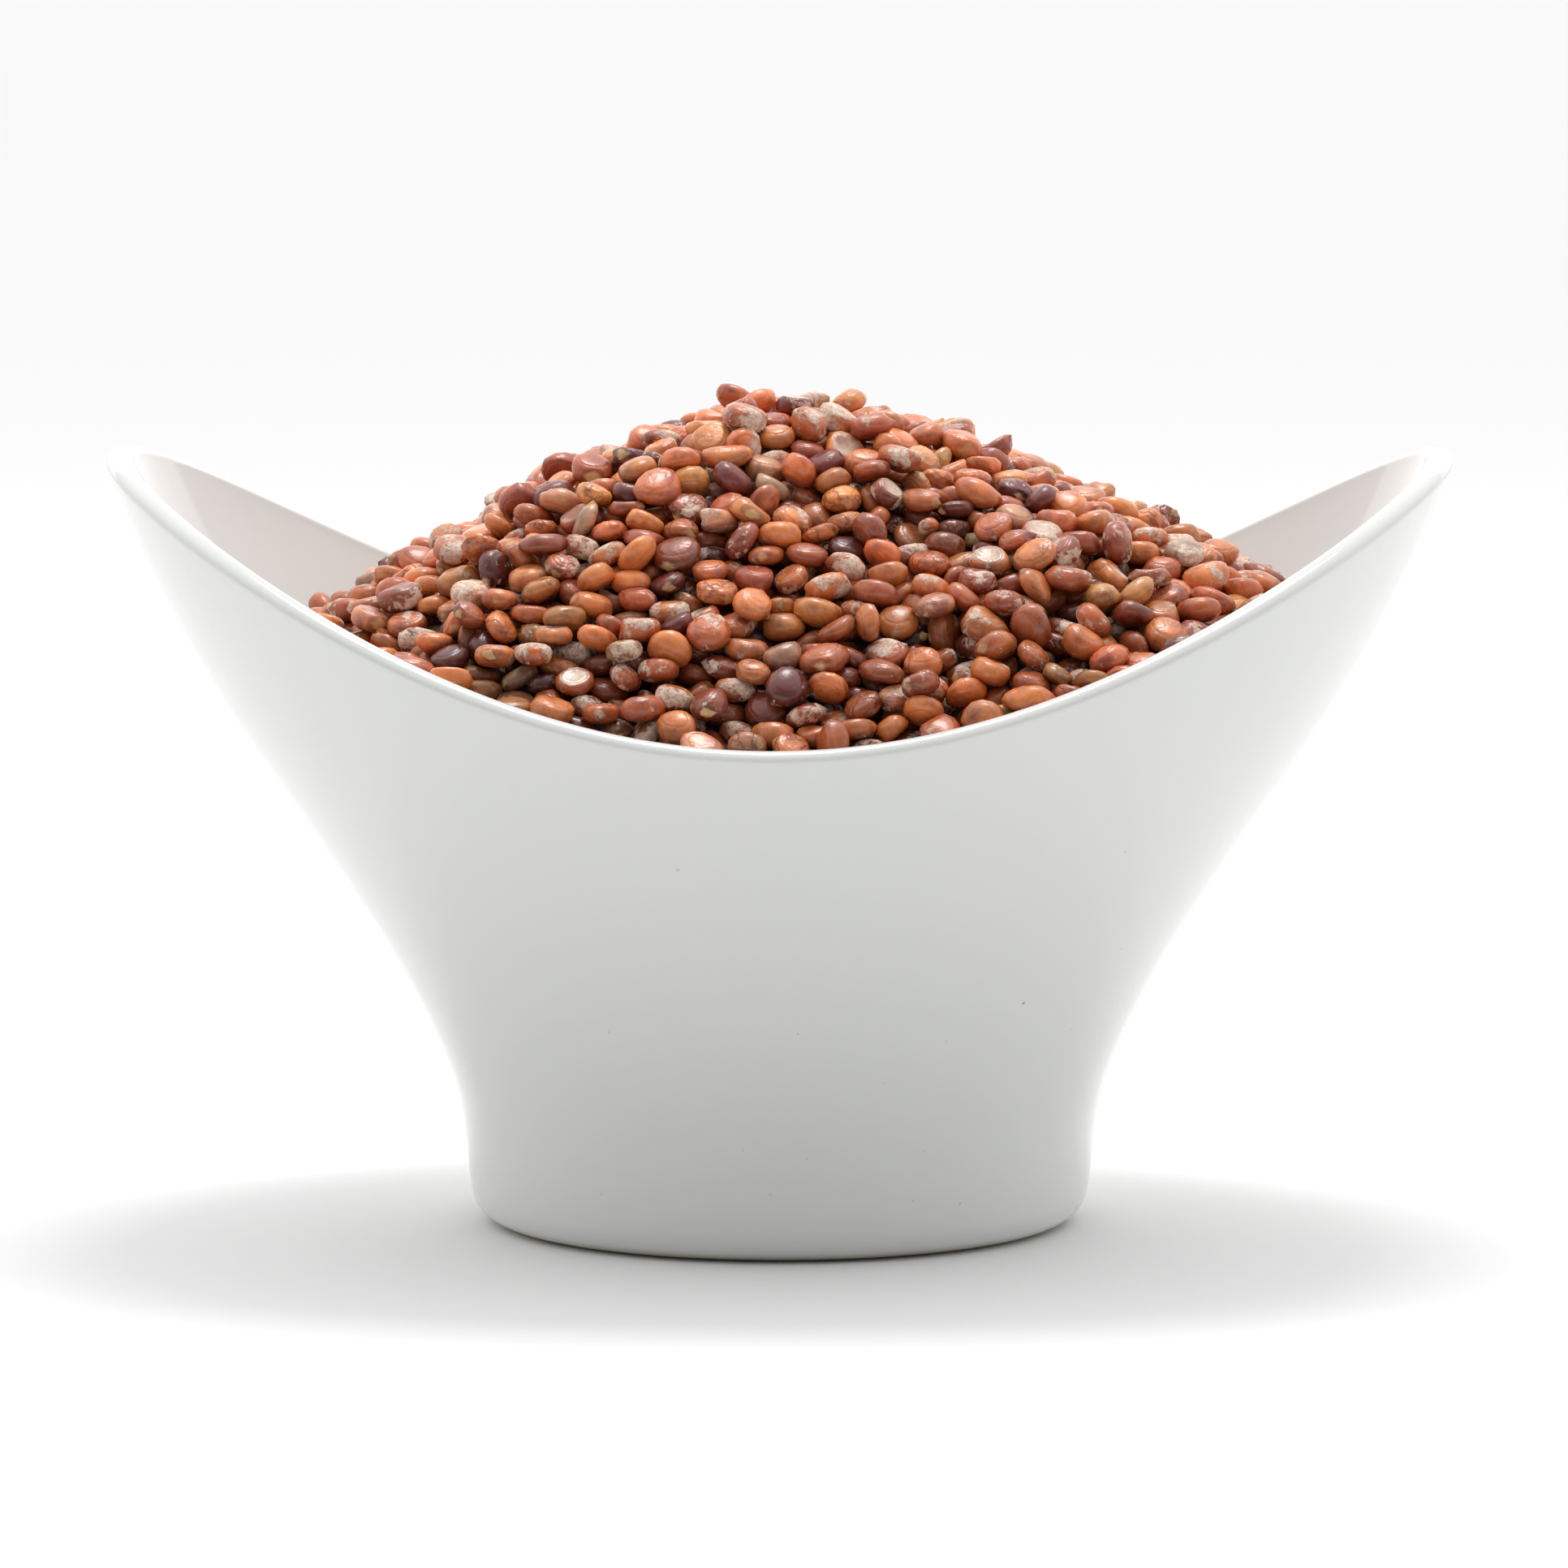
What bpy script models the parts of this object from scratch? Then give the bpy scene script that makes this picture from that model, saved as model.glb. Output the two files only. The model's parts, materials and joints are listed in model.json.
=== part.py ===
"""A small glazed bowl with two raised ends, heaped with red quinoa. Metres, +Z up, origin under the foot."""

import math
import random

import bmesh
import bpy
import numpy as np
from mathutils import Euler, Vector, geometry

# Bowl: a turned wall, as (height, outer radius), from the top of the foot's rounding to the tips
WALL_KNOTS = (
    (0.0020, 0.01800),
    (0.0080, 0.01885),
    (0.0140, 0.02154),
    (0.0220, 0.02658),
    (0.0300, 0.03208),
    (0.0380, 0.03640),
    (0.0455, 0.03930),
)
WALL = 0.0022
RIM_WALL = 0.0015
THINNING = 0.5
LIP = 0.0016
BEAD_DROP = 0.0006
SIDE_CREST = 0.0306
TIP_CREST = 0.0451
RIM_BEND = 1.3
CREST_ROUNDS = 30

# Foot and floor
FOOT_OUTER = 0.0156
FOOT_INNER = 0.0130
FOOT_ROUNDING = 0.0020
LOW_WALL = 0.0055
RECESS = 0.0010
FLOOR = 0.0040
FLOOR_RADIUS = 0.0090
FILLET_TOP = 0.0095

# Heap: its apex, how its edge climbs the inside of the bowl, and its grains
GAP = 0.0003
APEX = Vector((0.0013, 0.0, 0.0480))
EDGE_LEVEL = 0.0336
EDGE_TILT = 0.0012
EDGE_CLIMB = 0.0016
BELOW_CREST = 0.0005
EDGE_BLEND = 0.0012
DOME_POWER = 1.5
GRAIN_WIDTH = 0.00205
GRAIN_THICKNESS = 0.00120
BUMP_SPACING = 0.00216
BUMP_RELIEF = 0.00038
BUMP_SPREAD = (0.6, 1.3)
BUMP_JITTER = 0.17
BUMP_MARGIN = 0.6
FUSED_GRAINS = 84
FUSED_SPACING = 0.0036
FUSED_MARGIN = 0.9
FUSED_LIFT = (0.02, 0.16)
FUSED_LEAN = 0.5
FUSED_SCALE = (0.9, 1.08)

# Facets
COLUMNS = 48
WALL_ROWS = 8
CORE_ROWS = 6
FILLET_STEPS = 4
LIP_STEPS = 5
ROUNDING_STEPS = 2
GRAIN_SEGMENTS = 7
GRAIN_RINGS = 3

LIP_CENTRE = TIP_CREST - LIP / 2
CREST_REACH = WALL_KNOTS[-1][1] - LIP / 2


def wall_radius(height):
    """The outer radius of the turned wall at this height, by a smooth curve through its knots."""
    heights, radii = np.array(WALL_KNOTS).T
    slopes = np.gradient(radii, heights)
    i = int(np.clip(np.searchsorted(heights, height) - 1, 0, len(heights) - 2))
    span = heights[i + 1] - heights[i]
    t = (height - heights[i]) / span
    start = (1 + 2 * t) * (1 - t) ** 2 * radii[i] + t * (1 - t) ** 2 * span * slopes[i]
    end = t * t * (3 - 2 * t) * radii[i + 1] + t * t * (t - 1) * span * slopes[i + 1]
    return float(start + end)


def crest_height(angle):
    """The height of the lip's crest in this direction: low at the sides, high at the tips."""
    height = TIP_CREST
    for _ in range(CREST_ROUNDS):
        reach = (wall_radius(height) - LIP / 2) * abs(math.cos(angle)) / CREST_REACH
        rise = (1 - math.cos(RIM_BEND * reach)) / (1 - math.cos(RIM_BEND))
        height = SIDE_CREST + (TIP_CREST - SIDE_CREST) * rise
    return height


def wall_thickness(share):
    """The wall's thickness at this share of its height: even below, then thinning to the lip."""
    t = max(0.0, (share - THINNING) / (1 - THINNING))
    return WALL - (WALL - RIM_WALL) * t * t * (3 - 2 * t)


def cavity_radius(height, angle):
    """The inside of the wall at this height, in the column that has its own crest."""
    rise = LIP_CENTRE - FILLET_TOP - TIP_CREST + crest_height(angle)
    return wall_radius(height) - wall_thickness(min(1.0, (height - FILLET_TOP) / rise))


def arc(centre, radii, start, end, steps):
    """Points (radius, height) along an arc of an ellipse, angles in degrees from +radius."""
    turn = [math.radians(start + (end - start) * i / steps) for i in range(steps + 1)]
    return [(centre[0] + radii[0] * math.cos(a), centre[1] + radii[1] * math.sin(a)) for a in turn]


def turned(name, profile):
    """The mesh of a profile of (radius, height) points turned about Z."""
    mesh = bpy.data.meshes.new(name)
    edges = [(i, i + 1) for i in range(len(profile) - 1)]
    mesh.from_pydata([(r, 0, z) for r, z in profile], edges, [])
    helper = bpy.data.objects.new(name, mesh)
    bpy.context.scene.collection.objects.link(helper)
    screw = helper.modifiers.new("turn", "SCREW")
    screw.steps = screw.render_steps = COLUMNS
    screw.use_merge_vertices = True
    screw.merge_threshold = 0.00001
    graph = bpy.context.evaluated_depsgraph_get()
    result = bpy.data.meshes.new_from_object(helper.evaluated_get(graph))
    bpy.data.objects.remove(helper)
    return result


def place(mesh, name, collection, material):
    obj = bpy.data.objects.new(name, mesh)
    collection.objects.link(obj)
    mesh.materials.clear()
    mesh.materials.append(material)
    return obj


def principled(name, color, roughness):
    material = bpy.data.materials.new(name)
    material.use_nodes = True
    shader = material.node_tree.nodes["Principled BSDF"]
    shader.inputs["Base Color"].default_value = (*color, 1)
    shader.inputs["Roughness"].default_value = roughness
    shader.inputs["Metallic"].default_value = 0
    return material


def floor_fillet(offset):
    """Floor and fillet of the cavity, from the axis to the wall, drawn in by the offset."""
    wall = wall_radius(FILLET_TOP) - WALL
    deep = FILLET_TOP - FLOOR
    curve = arc((FLOOR_RADIUS, FILLET_TOP), (wall - FLOOR_RADIUS, deep), -90, 0, FILLET_STEPS)
    return [(0, FLOOR + offset)] + [(r - offset * z / FILLET_TOP, z + offset) for r, z in curve]


def make_bowl(collection):
    """The profile at a tip, turned, then each column lowered to its own crest along the same wall."""
    outer_top = LIP_CENTRE - BEAD_DROP
    rise = LIP_CENTRE - FILLET_TOP
    heights = [FILLET_TOP + (outer_top - FILLET_TOP) * i / WALL_ROWS for i in range(1, WALL_ROWS + 1)]
    inside = [(wall_radius(z) - wall_thickness((z - FILLET_TOP) / rise), z) for z in heights]
    lip_middle = wall_radius(LIP_CENTRE) - RIM_WALL + LIP / 2
    lip = arc((lip_middle, LIP_CENTRE), (LIP / 2, LIP / 2), 180, 0, LIP_STEPS)
    outside = [(wall_radius(z), z) for z in heights[::-1] + [FILLET_TOP, LOW_WALL, FOOT_ROUNDING]]
    foot_radii = (outside[-1][0] - FOOT_OUTER, FOOT_ROUNDING)
    rounding = arc((FOOT_OUTER, FOOT_ROUNDING), foot_radii, 0, -90, ROUNDING_STEPS)[1:]
    under = [(FOOT_INNER, 0), (FOOT_INNER - RECESS / 2, RECESS), (0, RECESS)]
    mesh = turned("bowl", floor_fillet(0) + inside + lip + outside + rounding + under)
    for vertex in mesh.vertices:
        x, y, z = vertex.co
        radius = math.hypot(x, y)
        angle = math.atan2(y, x)
        if z <= FILLET_TOP or radius == 0:
            continue
        share = min(1, (z - FILLET_TOP) / rise)
        drop = share * (TIP_CREST - crest_height(angle))
        level = min(z, LIP_CENTRE)
        radius += wall_radius(level - drop) - wall_radius(level)
        vertex.co = (radius * math.cos(angle), radius * math.sin(angle), z - drop)
    mesh.shade_smooth()
    return place(mesh, "bowl", collection, principled("white glaze", (0.80, 0.81, 0.79), 0.15))


def edge_height(angle):
    """Where the heap meets the wall: just under the crest at the sides, lower inside the tips."""
    level = EDGE_LEVEL + EDGE_TILT * math.cos(angle) + EDGE_CLIMB * math.sin(angle) ** 2
    limit = crest_height(angle) - BELOW_CREST
    return min(level, limit) - EDGE_BLEND * math.log1p(math.exp(-abs(level - limit) / EDGE_BLEND))


def core_shell():
    """The underside of the heap: the cavity's own shape, a gap inside it, open at the top."""
    rows = [FILLET_TOP + (EDGE_LEVEL - FILLET_TOP) * i / CORE_ROWS for i in range(1, CORE_ROWS + 1)]
    shell = turned("core", floor_fillet(GAP) + [(wall_radius(z) - WALL - GAP, z) for z in rows])
    for vertex in shell.vertices:
        x, y, z = vertex.co
        if z <= FILLET_TOP + 2 * GAP:
            continue
        angle = math.atan2(y, x)
        share = (z - FILLET_TOP) / (EDGE_LEVEL - FILLET_TOP)
        height = FILLET_TOP + share * (edge_height(angle) - FILLET_TOP)
        radius = cavity_radius(height, angle) - GAP
        vertex.co = (radius * math.cos(angle), radius * math.sin(angle), height)
    return shell


class Dome:
    """The heap's smooth upper surface, spread from the apex to the edge where it meets the wall."""

    def __init__(self, ring):
        polar = sorted((math.atan2(v.y, v.x - APEX.x), math.hypot(v.x - APEX.x, v.y), v.z) for v in ring)
        self.angles, self.radii, self.heights = np.array(polar).T

    def edge(self, x, y):
        """(distance from the apex, distance of the edge that way, height of that edge)"""
        angle = math.atan2(y, x - APEX.x)
        turn = 2 * math.pi
        reach = float(np.interp(angle, self.angles, self.radii, period=turn))
        height = float(np.interp(angle, self.angles, self.heights, period=turn))
        return math.hypot(x - APEX.x, y), reach, height

    def point(self, x, y, lift=0):
        distance, reach, height = self.edge(x, y)
        share = min(1, distance / reach)
        return Vector((x, y, APEX.z - (APEX.z - height) * share**DOME_POWER + lift))

    def normal(self, x, y):
        step = GRAIN_WIDTH / 2
        along = self.point(x + step, y) - self.point(x - step, y)
        across = self.point(x, y + step) - self.point(x, y - step)
        return along.cross(across).normalized()


def bump_points(dome, draw):
    """A jittered triangular lattice: one point in three is the top of a bump, the rest lie between bumps."""
    step = BUMP_SPACING / math.sqrt(3)
    deep = step * math.sqrt(3) / 2
    columns = math.ceil(CREST_REACH / step)
    rows = math.ceil(CREST_REACH / deep)
    points = []
    for row in range(-rows, rows + 1):
        for column in range(-columns, columns + 1):
            x = (column + row % 2 / 2 + draw.uniform(-BUMP_JITTER, BUMP_JITTER)) * step
            y = row * deep + draw.uniform(-BUMP_JITTER, BUMP_JITTER) * step
            distance, reach, _ = dome.edge(x, y)
            if distance > reach - BUMP_MARGIN * step:
                continue
            top = (column - row // 2 + 2 * row) % 3 == 0
            lift = BUMP_RELIEF * draw.uniform(*BUMP_SPREAD) * (1 if top else -1)
            points.append(dome.point(x, y, lift))
    return points


def make_core(collection, material, draw):
    """The shell with a bumpy lid of triangles, which shares the shell's open edge."""
    core = bmesh.new()
    core.from_mesh(core_shell())
    ring = [v for v in core.verts if v.is_boundary]
    ring.sort(key=lambda v: math.atan2(v.co.y, v.co.x))
    dome = Dome([v.co for v in ring])
    inner = bump_points(dome, draw)
    flat = [Vector((v.co.x, v.co.y)) for v in ring] + [p.xy for p in inner]
    border = [(i, (i + 1) % len(ring)) for i in range(len(ring))]
    lid = geometry.delaunay_2d_cdt(flat, border, [], 1, 1e-9)
    corners = ring + [core.verts.new(p) for p in inner]
    for face in lid[2]:
        core.faces.new([corners[lid[3][i][0]] for i in face])
    bmesh.ops.recalc_face_normals(core, faces=core.faces)
    mesh = bpy.data.meshes.new("quinoa")
    core.to_mesh(mesh)
    core.free()
    return place(mesh, "quinoa", collection, material), dome


def grain_mesh():
    """A thick disc with low cones for faces: the width is across its rings, the thickness pole to pole."""
    grain = bmesh.new()
    bmesh.ops.create_uvsphere(grain, u_segments=GRAIN_SEGMENTS, v_segments=GRAIN_RINGS, radius=1)
    ring = max(math.hypot(v.co.x, v.co.y) for v in grain.verts)
    scale = (GRAIN_WIDTH / 2 / ring, GRAIN_WIDTH / 2 / ring, GRAIN_THICKNESS / 2)
    bmesh.ops.scale(grain, vec=scale, verts=grain.verts)
    mesh = bpy.data.meshes.new("grain")
    grain.to_mesh(mesh)
    grain.free()
    return mesh


def grain_places(dome, draw):
    """Seeded random places on the dome, evenly apart and clear of the wall."""
    places = []
    while len(places) < FUSED_GRAINS:
        x = draw.uniform(-1, 1) * CREST_REACH
        y = draw.uniform(-1, 1) * CREST_REACH
        distance, reach, _ = dome.edge(x, y)
        if distance > reach - FUSED_MARGIN * GRAIN_WIDTH:
            continue
        point = dome.point(x, y)
        if all((point - other).length > FUSED_SPACING for other in places):
            places.append(point)
    return places


def make_quinoa(collection, draw):
    material = principled("red quinoa", (0.30, 0.09, 0.045), 0.6)
    quinoa, dome = make_core(collection, material, draw)
    loose = bpy.data.collections.new("grains")
    bpy.context.scene.collection.children.link(loose)
    mesh = grain_mesh()
    for point in grain_places(dome, draw):
        grain = bpy.data.objects.new("grain", mesh)
        loose.objects.link(grain)
        normal = dome.normal(point.x, point.y)
        tilt = (draw.gauss(0, FUSED_LEAN), draw.gauss(0, FUSED_LEAN), draw.uniform(0, 2 * math.pi))
        grain.rotation_mode = "QUATERNION"
        grain.rotation_quaternion = normal.to_track_quat("Z", "Y") @ Euler(tilt).to_quaternion()
        grain.location = point + normal * draw.uniform(*FUSED_LIFT) * GRAIN_WIDTH
        grain.scale = [draw.uniform(*FUSED_SCALE) for _ in range(3)]
    fuse = quinoa.modifiers.new("fuse", "BOOLEAN")
    fuse.operation = "UNION"
    fuse.operand_type = "COLLECTION"
    fuse.collection = loose
    fuse.solver = "MANIFOLD"
    graph = bpy.context.evaluated_depsgraph_get()
    fused = bpy.data.meshes.new_from_object(quinoa.evaluated_get(graph))
    quinoa.modifiers.clear()
    quinoa.data = fused
    for grain in list(loose.objects):
        bpy.data.objects.remove(grain)
    bpy.data.collections.remove(loose)


def main():
    for obj in list(bpy.data.objects):
        bpy.data.objects.remove(obj)
    collection = bpy.data.collections.new("bowl of quinoa")
    bpy.context.scene.collection.children.link(collection)
    make_bowl(collection)
    make_quinoa(collection, random.Random(7))


main()
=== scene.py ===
import json
import math

import bmesh
import bpy
import numpy as np
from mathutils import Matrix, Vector

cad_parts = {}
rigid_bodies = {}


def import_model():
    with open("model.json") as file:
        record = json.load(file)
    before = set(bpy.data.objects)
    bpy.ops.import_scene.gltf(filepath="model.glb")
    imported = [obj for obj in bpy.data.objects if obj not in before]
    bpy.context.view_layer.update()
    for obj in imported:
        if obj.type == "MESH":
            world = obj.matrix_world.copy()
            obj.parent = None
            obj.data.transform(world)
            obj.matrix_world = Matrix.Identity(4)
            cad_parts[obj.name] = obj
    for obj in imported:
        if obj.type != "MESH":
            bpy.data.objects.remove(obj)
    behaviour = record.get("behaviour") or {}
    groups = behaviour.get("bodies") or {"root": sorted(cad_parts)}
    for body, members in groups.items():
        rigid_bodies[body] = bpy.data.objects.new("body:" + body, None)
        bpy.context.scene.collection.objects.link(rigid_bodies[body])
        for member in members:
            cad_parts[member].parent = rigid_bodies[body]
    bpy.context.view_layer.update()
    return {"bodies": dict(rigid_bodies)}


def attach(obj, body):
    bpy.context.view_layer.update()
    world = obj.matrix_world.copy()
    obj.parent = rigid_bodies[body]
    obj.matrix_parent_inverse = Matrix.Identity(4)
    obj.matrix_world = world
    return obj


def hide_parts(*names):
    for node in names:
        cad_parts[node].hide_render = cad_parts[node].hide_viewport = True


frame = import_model()
carrier = next(iter(frame["bodies"]))
print("loaded the bowl and its heap")

# the turned wall of the bowl, in metres: (height, outer radius) up the tips, then the lip's saddle
wallShape = {
    "knots": [
        (0.0020, 0.01800),
        (0.0080, 0.01885),
        (0.0140, 0.02154),
        (0.0220, 0.02658),
        (0.0300, 0.03208),
        (0.0380, 0.03640),
        (0.0455, 0.03930),
    ],
    "thickness": 0.0022,
    "rimThickness": 0.0015,
    "thinning": 0.5,
    "lip": 0.00150,
    "lipRise": 0.00058,
    "beadTurn": -20,
    "beadDrop": 0.0018,
    "sideCrest": 0.0306,
    "tipCrest": 0.0451,
    "rimBend": 1.3,
    "footOuter": 0.0156,
    "footInner": 0.0130,
    "recess": 0.0010,
    "floor": 0.0040,
    "floorRadius": 0.0090,
    "filletTop": 0.0095,
    "footRounding": 0.002,
    "lowWall": (0.0035, 0.008),
    "tableSteps": 400,
    "crestSteps": 721,
    "crestRounds": 30,
}


def smoothTable(knots, count):
    heights, radii = np.array(knots).T
    slopes = np.gradient(radii, heights)
    at = np.linspace(heights[0], heights[-1], count)
    i = np.clip(np.searchsorted(heights, at) - 1, 0, len(heights) - 2)
    span = heights[i + 1] - heights[i]
    t = (at - heights[i]) / span
    start = (1 + 2 * t) * (1 - t) ** 2 * radii[i] + t * (1 - t) ** 2 * span * slopes[i]
    end = t * t * (3 - 2 * t) * radii[i + 1] + t * t * (t - 1) * span * slopes[i + 1]
    return at, start + end


wallHeights, wallRadii = smoothTable(wallShape["knots"], wallShape["tableSteps"])
lipCentre = wallShape["tipCrest"] - wallShape["lipRise"]


def wallRadius(height):
    return np.interp(height, wallHeights, wallRadii)


def wallThickness(share):
    t = np.clip((share - wallShape["thinning"]) / (1 - wallShape["thinning"]), 0, 1)
    thinner = wallShape["thickness"] - wallShape["rimThickness"]
    return wallShape["thickness"] - thinner * t * t * (3 - 2 * t)


def solveCrest(angle):
    # the lip is low at the sides and climbs to the tips
    half = wallShape["lip"] / 2
    reach = wallShape["knots"][-1][1] - half
    bend = wallShape["rimBend"]
    climb = wallShape["tipCrest"] - wallShape["sideCrest"]
    height = wallShape["tipCrest"] + 0 * angle
    for _ in range(wallShape["crestRounds"]):
        along = (wallRadius(height) - half) * np.abs(np.cos(angle)) / reach
        height = wallShape["sideCrest"] + climb * (1 - np.cos(bend * along)) / (1 - math.cos(bend))
    return height


crestTurns = np.linspace(-math.pi, math.pi, wallShape["crestSteps"])
crestLevels = solveCrest(crestTurns)


def crestHeight(angle):
    return np.interp(angle, crestTurns, crestLevels)


def cavityRadius(height, angle):
    # the inside of the wall, which thins towards its own crest in each direction
    rise = lipCentre - wallShape["filletTop"] - wallShape["tipCrest"] + crestHeight(angle)
    share = np.clip((height - wallShape["filletTop"]) / rise, 0, 1)
    return wallRadius(height) - wallThickness(share)


class Wire:
    # a value in a node tree; sums on it add Math nodes
    def __init__(self, finish, socket):
        self.finish = finish
        self.socket = socket

    def maths(self, operation, first, second=0.0):
        return self.finish.node("ShaderNodeMath", {"operation": operation}, {0: first, 1: second})

    def __add__(self, other):
        return self.maths("ADD", self, other)

    def __sub__(self, other):
        return self.maths("SUBTRACT", self, other)

    def __rsub__(self, other):
        return self.maths("SUBTRACT", other, self)

    def __mul__(self, other):
        return self.maths("MULTIPLY", self, other)

    def __pow__(self, other):
        return self.maths("POWER", self, other)

    def __gt__(self, other):
        return self.maths("GREATER_THAN", self, other)

    def __abs__(self):
        return self.maths("ABSOLUTE", self)

    __radd__ = __add__
    __rmul__ = __mul__

    def largest(self, other):
        return self.maths("MAXIMUM", self, other)

    def held(self):
        # kept between 0 and 1
        return self.finish.node("ShaderNodeClamp", {}, {"Value": self})

    def step(self, low, high):
        # an eased step from 0 at low to 1 at high
        values = {"Value": self, "From Min": low, "From Max": high}
        return self.finish.node("ShaderNodeMapRange", {"interpolation_type": "SMOOTHSTEP"}, values)


class Finish:
    # the nodes of a material, or of the studio's world
    def __init__(self, owner):
        owner.use_nodes = True
        self.owner = owner
        self.tree = owner.node_tree
        self.shader = self.tree.nodes.get("Principled BSDF") or self.tree.nodes["Background"]

    def feed(self, socket, value):
        if isinstance(value, Wire):
            self.tree.links.new(value.socket, socket)
        else:
            socket.default_value = value

    def node(self, kind, settings, inputs, out=0):
        made = self.tree.nodes.new(kind)
        stops = settings.pop("stops", [])
        for key, value in settings.items():
            setattr(made, key, value)
        for place, colour in stops:
            made.color_ramp.elements.new(place).color = (*colour, 1)
        if stops:
            made.color_ramp.elements.remove(made.color_ramp.elements[0])
            made.color_ramp.elements.remove(made.color_ramp.elements[-1])
        for key, value in inputs.items():
            self.feed(made.inputs[key], value)
        return Wire(self, made.outputs[out])

    def noise(self, place, scale, detail=2.0, roughness=0.5):
        values = {"Vector": place, "Scale": scale, "Detail": detail, "Roughness": roughness}
        return self.node("ShaderNodeTexNoise", {}, values)

    def blend(self, factor, first, second, mode="MIX"):
        settings = {"data_type": "RGBA", "blend_type": mode}
        return self.node("ShaderNodeMix", settings, {0: factor, 6: first, 7: second}, out=2)

    def place(self, kind="Object"):
        return self.node("ShaderNodeTexCoord", {}, {}, out=kind)

    def attribute(self, name, kind):
        return self.node("ShaderNodeAttribute", {"attribute_name": name}, {}, out=kind)

    def split(self, vector):
        first = self.node("ShaderNodeSeparateXYZ", {}, {0: vector})
        outputs = first.socket.node.outputs
        return [Wire(self, outputs[i]) for i in range(3)]

    def distance(self, first, second):
        settings = {"operation": "DISTANCE"}
        return self.node("ShaderNodeVectorMath", settings, {0: first, 1: second}, out="Value")

    def set(self, **values):
        for name, value in values.items():
            self.feed(self.shader.inputs[name.replace("_", " ")], value)


def pickNothing():
    if bpy.context.object and bpy.context.object.mode == "EDIT":
        bpy.ops.object.mode_set(mode="OBJECT")
    bpy.ops.object.select_all(action="DESELECT")


def finishPiece(piece, material):
    piece.data.materials.clear()
    piece.data.materials.append(material)
    for polygon in piece.data.polygons:
        polygon.use_smooth = True
    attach(piece, carrier)


# white glaze: nearly even, with faint ripples, a few stray kiln specks and a bare foot ring
glazeLook = {
    "white": (0.755, 0.76, 0.73, 1),
    "cool": (0.74, 0.755, 0.74, 1),
    "grey": (0.36, 0.35, 0.33, 1),
    "brown": (0.40, 0.20, 0.08, 1),
    "bareFoot": (0.66, 0.62, 0.54, 1),
    "roughness": 0.07,
    "ior": 1.5,
    "toneScale": 60.0,
    "ripple": 0.06,
    "rippleScale": 150.0,
    "rippleDepth": 0.0002,
    "strayScale": 230.0,
    "straySize": 0.040,
    "strayEdge": 0.012,
    "strayStrength": 0.3,
    "strayAreas": 85.0,
    "strayAbove": 0.60,
    "bareFrom": 0.0002,
    "bareTo": 0.0007,
    "bareRoughness": 0.45,
    "speckEdge": 1.6,
}
# the specks that the bowl shows, each as (x, y, z, size, strength), in millimetres
greySpecks = [
    (-5.17, -27.18, 23.60, 0.16, 0.30),
    (-9.28, -19.14, 13.50, 0.10, 0.35),
    (1.35, -21.35, 13.73, 0.09, 0.40),
    (9.64, -18.65, 12.97, 0.08, 0.35),
    (16.74, -12.56, 12.84, 0.09, 0.35),
    (6.14, -18.86, 10.60, 0.08, 0.35),
    (8.38, -16.49, 6.44, 0.09, 0.40),
    (-1.74, -18.47, 6.75, 0.08, 0.35),
    (1.81, -18.38, 6.24, 0.09, 0.35),
    (-9.85, -15.30, 3.75, 0.10, 0.35),
    (-0.24, -18.23, 4.19, 0.08, 0.35),
    (7.79, -16.42, 3.56, 0.10, 0.45),
    (10.45, -14.83, 3.17, 0.11, 0.55),
    (17.39, -4.64, 1.27, 0.45, 0.35),
]
brownSpecks = [(13.97, -17.04, 14.92, 0.13, 0.85), (-3.0, -17.7, 0.5, 0.22, 0.40)]


def speckMask(finish, place, specks):
    mask = None
    edge = glazeLook["speckEdge"]
    for x, y, z, size, strength in specks:
        away = finish.distance(place, (x / 1000, y / 1000, z / 1000))
        mark = (edge - away * (edge * 1000 / size)).held() * strength
        mask = mark if mask is None else mask.largest(mark)
    return mask


def glazeFinish():
    look = glazeLook
    finish = Finish(bpy.data.materials.new("white glaze"))
    place = finish.place()
    height = finish.split(place)[2]
    colour = finish.blend(finish.noise(place, look["toneScale"]), look["white"], look["cool"])
    cells = {"Vector": place, "Scale": look["strayScale"]}
    stray = finish.node("ShaderNodeTexVoronoi", {"feature": "F1"}, cells, out="Distance")
    sparse = look["strayAbove"] < finish.noise(place, look["strayAreas"], 1.0)
    strays = (look["straySize"] - stray).step(0.0, look["strayEdge"]) * sparse * look["strayStrength"]
    greys = speckMask(finish, place, greySpecks).largest(strays)
    colour = finish.blend(greys, colour, look["grey"])
    colour = finish.blend(speckMask(finish, place, brownSpecks), colour, look["brown"])
    bare = 1 - height.step(look["bareFrom"], look["bareTo"])
    colour = finish.blend(bare, colour, look["bareFoot"])
    ripple = finish.noise(place, look["rippleScale"], 1.0)
    bump = {"Height": ripple, "Strength": look["ripple"], "Distance": look["rippleDepth"]}
    normal = finish.node("ShaderNodeBump", {}, bump)
    rough = look["roughness"] + bare * look["bareRoughness"]
    finish.set(Base_Color=colour, Roughness=rough, Normal=normal, IOR=look["ior"])
    return finish.owner


def arc(centre, radii, start, end, steps):
    turns = np.radians(np.linspace(start, end, steps + 1))
    return [(centre[0] + radii[0] * math.cos(a), centre[1] + radii[1] * math.sin(a)) for a in turns]


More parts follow.
